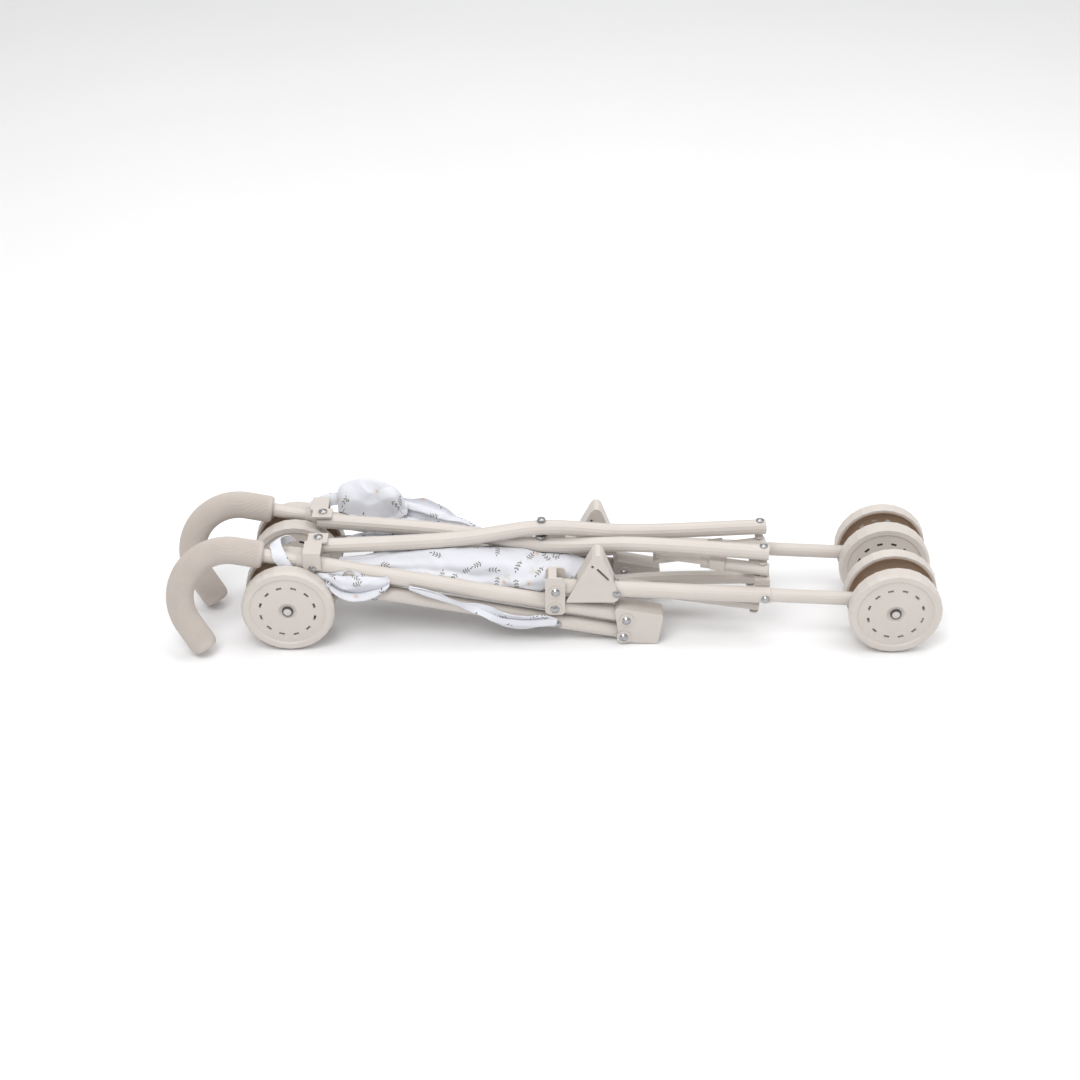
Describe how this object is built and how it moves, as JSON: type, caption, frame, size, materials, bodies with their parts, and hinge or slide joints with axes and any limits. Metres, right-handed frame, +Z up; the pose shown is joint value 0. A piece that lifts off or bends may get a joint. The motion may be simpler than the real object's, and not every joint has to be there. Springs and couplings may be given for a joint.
{
  "type": "folding doll stroller",
  "caption": "Umbrella-fold toy doll stroller in beige tube with printed cotton seat, lying folded on its wheels, legs and braces hinged to open.",
  "frame": {"origin": "bottom centre of the folded stroller's bounding box", "axes": "+X from the push handles towards the rear wheels, +Z up and towards the stroller's back, +Y from its left side to its right side"},
  "size_m": [0.6204, 0.1276, 0.1032],
  "materials": {
    "beige_tube": "satin powder coat",
    "beige_plastic": "moulded, matte",
    "ribbed_grip": "ribbed, matte",
    "bright_rivet": "polished",
    "printed_cotton": "plain weave, small sprig print"
  },
  "bodies": {
    "side_frame_left": {"push_tube_left": "beige_tube", "handle_tube_left": "beige_tube", "grip_left": "ribbed_grip", "pivot_plate_left": "beige_plastic", "rear_pivot_rivet_left": "bright_rivet", "knee_housing_left": "beige_plastic", "knee_rivet_left": "bright_rivet", "front_pivot_rivet_left": "bright_rivet", "seat_cloth": "printed_cotton", "front_cloth": "printed_cotton", "side_cloth": "printed_cotton"},
    "rear_leg_left": {"rear_leg_left": "beige_tube", "rear_stub_left": "beige_tube", "leg_rivet_left": "bright_rivet", "lock_housing_left": "beige_plastic"},
    "front_leg_left": {"front_leg_left": "beige_tube", "front_stub_left": "beige_tube"},
    "rear_wheel_left": {"rear_wheel_left_disc_outer": "beige_plastic", "rear_wheel_left_disc_inner": "beige_plastic", "rear_wheel_left_axle": "bright_rivet"},
    "front_wheel_left": {"front_wheel_left_disc_outer": "beige_plastic", "front_wheel_left_disc_inner": "beige_plastic", "front_wheel_left_axle": "bright_rivet"},
    "stack_bracket_left": {"stack_bracket_left": "beige_tube"},
    "low_bracket_left": {"low_bracket_left": "beige_tube"},
    "push_clip_left": {"push_clip_left": "beige_tube"},
    "front_clip_left": {"front_clip_left": "beige_tube"},
    "back_arm_left": {"back_arm_left": "beige_tube", "cross_rivet": "bright_rivet"},
    "low_arm_left": {"low_arm_left": "beige_tube"},
    "lock_bar_left": {"lock_bar_left": "beige_tube"},
    "side_frame_right": {"push_tube_right": "beige_tube", "handle_tube_right": "beige_tube", "grip_right": "ribbed_grip", "pivot_plate_right": "beige_plastic", "rear_pivot_rivet_right": "bright_rivet", "knee_housing_right": "beige_plastic", "knee_rivet_right": "bright_rivet", "front_pivot_rivet_right": "bright_rivet", "back_cloth": "printed_cotton"},
    "rear_leg_right": {"rear_leg_right": "beige_tube", "rear_stub_right": "beige_tube", "leg_rivet_right": "bright_rivet", "lock_housing_right": "beige_plastic"},
    "front_leg_right": {"front_leg_right": "beige_tube", "front_stub_right": "beige_tube"},
    "rear_wheel_right": {"rear_wheel_right_disc_outer": "beige_plastic", "rear_wheel_right_disc_inner": "beige_plastic", "rear_wheel_right_axle": "bright_rivet"},
    "front_wheel_right": {"front_wheel_right_disc_outer": "beige_plastic", "front_wheel_right_disc_inner": "beige_plastic", "front_wheel_right_axle": "bright_rivet"},
    "stack_bracket_right": {"stack_bracket_right": "beige_tube"},
    "low_bracket_right": {"low_bracket_right": "beige_tube"},
    "push_clip_right": {"push_clip_right": "beige_tube"},
    "front_clip_right": {"front_clip_right": "beige_tube"},
    "back_arm_right": {"back_arm_right": "beige_tube"},
    "low_arm_right": {"low_arm_right": "beige_tube"},
    "lock_bar_right": {"lock_bar_right": "beige_tube"}
  },
  "joints": [
    {"name": "spread", "type": "slide", "parent": "side_frame_left", "child": "side_frame_right", "axis": [0, 1, 0], "range_m": [0, 0.13]},
    {"name": "rear_leg_fold_left", "type": "hinge", "parent": "side_frame_left", "child": "rear_leg_left", "pos_m": [0.00138, -0.02828, 0.05025], "axis": [0, -1, 0], "range_deg": [0, 51.2]},
    {"name": "front_leg_fold_left", "type": "hinge", "parent": "side_frame_left", "child": "front_leg_left", "pos_m": [0.05678, -0.02828, 0.00695], "axis": [0, -1, 0], "range_deg": [0, 174.4]},
    {"name": "push_clip_tilt_left", "type": "hinge", "parent": "side_frame_left", "child": "push_clip_left", "pos_m": [-0.19262, -0.02828, 0.07085], "axis": [0, -1, 0], "range_deg": [0, 24.1]},
    {"name": "back_arm_swing_left", "type": "hinge", "parent": "push_clip_left", "child": "back_arm_left", "pos_m": [-0.18912, -0.01278, 0.07725], "axis": [0.0112, 0, 0.9999], "range_deg": [0, 21.9]},
    {"name": "stack_tilt_left", "type": "hinge", "parent": "rear_leg_left", "child": "stack_bracket_left", "pos_m": [0.16978, -0.02828, 0.0425], "axis": [0, 1, 0], "range_deg": [0, 27.2]},
    {"name": "lock_bar_fold_left", "type": "hinge", "parent": "stack_bracket_left", "child": "lock_bar_left", "pos_m": [0.16818, -0.01278, 0.05725], "axis": [0, 0, -1], "range_deg": [0, 76.8]},
    {"name": "low_bracket_tilt_left", "type": "hinge", "parent": "rear_leg_left", "child": "low_bracket_left", "pos_m": [0.16978, -0.02828, 0.0425], "axis": [0, -1, 0], "range_deg": [0, 70.4]},
    {"name": "low_arm_swing_left", "type": "hinge", "parent": "low_bracket_left", "child": "low_arm_left", "pos_m": [0.16338, -0.01278, 0.02425], "axis": [-0.0658, 0, -0.9978], "range_deg": [0, 25.8]},
    {"name": "front_clip_tilt_left", "type": "hinge", "parent": "front_leg_left", "child": "front_clip_left", "pos_m": [-0.14422, -0.02828, 0.04453], "axis": [0, 1, 0], "range_deg": [0, 53]},
    {"name": "rear_wheel_spin_left", "type": "hinge", "parent": "rear_leg_left", "child": "rear_wheel_left", "pos_m": [0.27298, -0.02828, 0.03775], "axis": [0, 1, 0], "continuous": true},
    {"name": "front_wheel_spin_left", "type": "hinge", "parent": "front_leg_left", "child": "front_wheel_left", "pos_m": [-0.21302, -0.02828, 0.03775], "axis": [0, 1, 0], "continuous": true},
    {"name": "rear_leg_fold_right", "type": "hinge", "parent": "side_frame_right", "child": "rear_leg_right", "pos_m": [0.00138, 0.04172, 0.05025], "axis": [0, -1, 0], "range_deg": [0, 51.2]},
    {"name": "front_leg_fold_right", "type": "hinge", "parent": "side_frame_right", "child": "front_leg_right", "pos_m": [0.05678, 0.04172, 0.00695], "axis": [0, -1, 0], "range_deg": [0, 174.4]},
    {"name": "push_clip_tilt_right", "type": "hinge", "parent": "side_frame_right", "child": "push_clip_right", "pos_m": [-0.19262, 0.04172, 0.07085], "axis": [0, -1, 0], "range_deg": [0, 24.1]},
    {"name": "back_arm_swing_right", "type": "hinge", "parent": "push_clip_right", "child": "back_arm_right", "pos_m": [-0.18912, 0.02622, 0.07725], "axis": [-0.0112, 0, -0.9999], "range_deg": [0, 21.9]},
    {"name": "stack_tilt_right", "type": "hinge", "parent": "rear_leg_right", "child": "stack_bracket_right", "pos_m": [0.16978, 0.04172, 0.0425], "axis": [0, 1, 0], "range_deg": [0, 27.2]},
    {"name": "lock_bar_fold_right", "type": "hinge", "parent": "stack_bracket_right", "child": "lock_bar_right", "pos_m": [0.16818, 0.02622, 0.05725], "axis": [0, 0, 1], "range_deg": [0, 76.8]},
    {"name": "low_bracket_tilt_right", "type": "hinge", "parent": "rear_leg_right", "child": "low_bracket_right", "pos_m": [0.16978, 0.04172, 0.0425], "axis": [0, -1, 0], "range_deg": [0, 70.4]},
    {"name": "low_arm_swing_right", "type": "hinge", "parent": "low_bracket_right", "child": "low_arm_right", "pos_m": [0.16338, 0.02622, 0.02425], "axis": [0.0658, 0, 0.9978], "range_deg": [0, 25.8]},
    {"name": "front_clip_tilt_right", "type": "hinge", "parent": "front_leg_right", "child": "front_clip_right", "pos_m": [-0.14422, 0.04172, 0.04453], "axis": [0, 1, 0], "range_deg": [0, 53]},
    {"name": "rear_wheel_spin_right", "type": "hinge", "parent": "rear_leg_right", "child": "rear_wheel_right", "pos_m": [0.27298, 0.04172, 0.03775], "axis": [0, 1, 0], "continuous": true},
    {"name": "front_wheel_spin_right", "type": "hinge", "parent": "front_leg_right", "child": "front_wheel_right", "pos_m": [-0.21302, 0.04172, 0.03775], "axis": [0, 1, 0], "continuous": true}
  ],
  "couplings": [
    {"joint": "rear_leg_fold_left", "follows": "spread", "rad_per_m": 6.8581},
    {"joint": "front_leg_fold_left", "follows": "spread", "rad_per_m": 23.394},
    {"joint": "push_clip_tilt_left", "follows": "spread", "rad_per_m": 3.2208},
    {"joint": "back_arm_swing_left", "follows": "spread", "rad_per_m": 2.929},
    {"joint": "stack_tilt_left", "follows": "spread", "rad_per_m": 3.6373},
    {"joint": "lock_bar_fold_left", "follows": "spread", "rad_per_m": 10.292},
    {"joint": "low_bracket_tilt_left", "follows": "spread", "rad_per_m": 9.44},
    {"joint": "low_arm_swing_left", "follows": "spread", "rad_per_m": 3.4555},
    {"joint": "front_clip_tilt_left", "follows": "spread", "rad_per_m": 7.0963},
    {"joint": "rear_leg_fold_right", "follows": "spread", "rad_per_m": 6.8581},
    {"joint": "front_leg_fold_right", "follows": "spread", "rad_per_m": 23.394},
    {"joint": "push_clip_tilt_right", "follows": "spread", "rad_per_m": 3.2208},
    {"joint": "back_arm_swing_right", "follows": "spread", "rad_per_m": 2.929},
    {"joint": "stack_tilt_right", "follows": "spread", "rad_per_m": 3.6373},
    {"joint": "lock_bar_fold_right", "follows": "spread", "rad_per_m": 10.292},
    {"joint": "low_bracket_tilt_right", "follows": "spread", "rad_per_m": 9.44},
    {"joint": "low_arm_swing_right", "follows": "spread", "rad_per_m": 3.4555},
    {"joint": "front_clip_tilt_right", "follows": "spread", "rad_per_m": 7.0963}
  ]
}
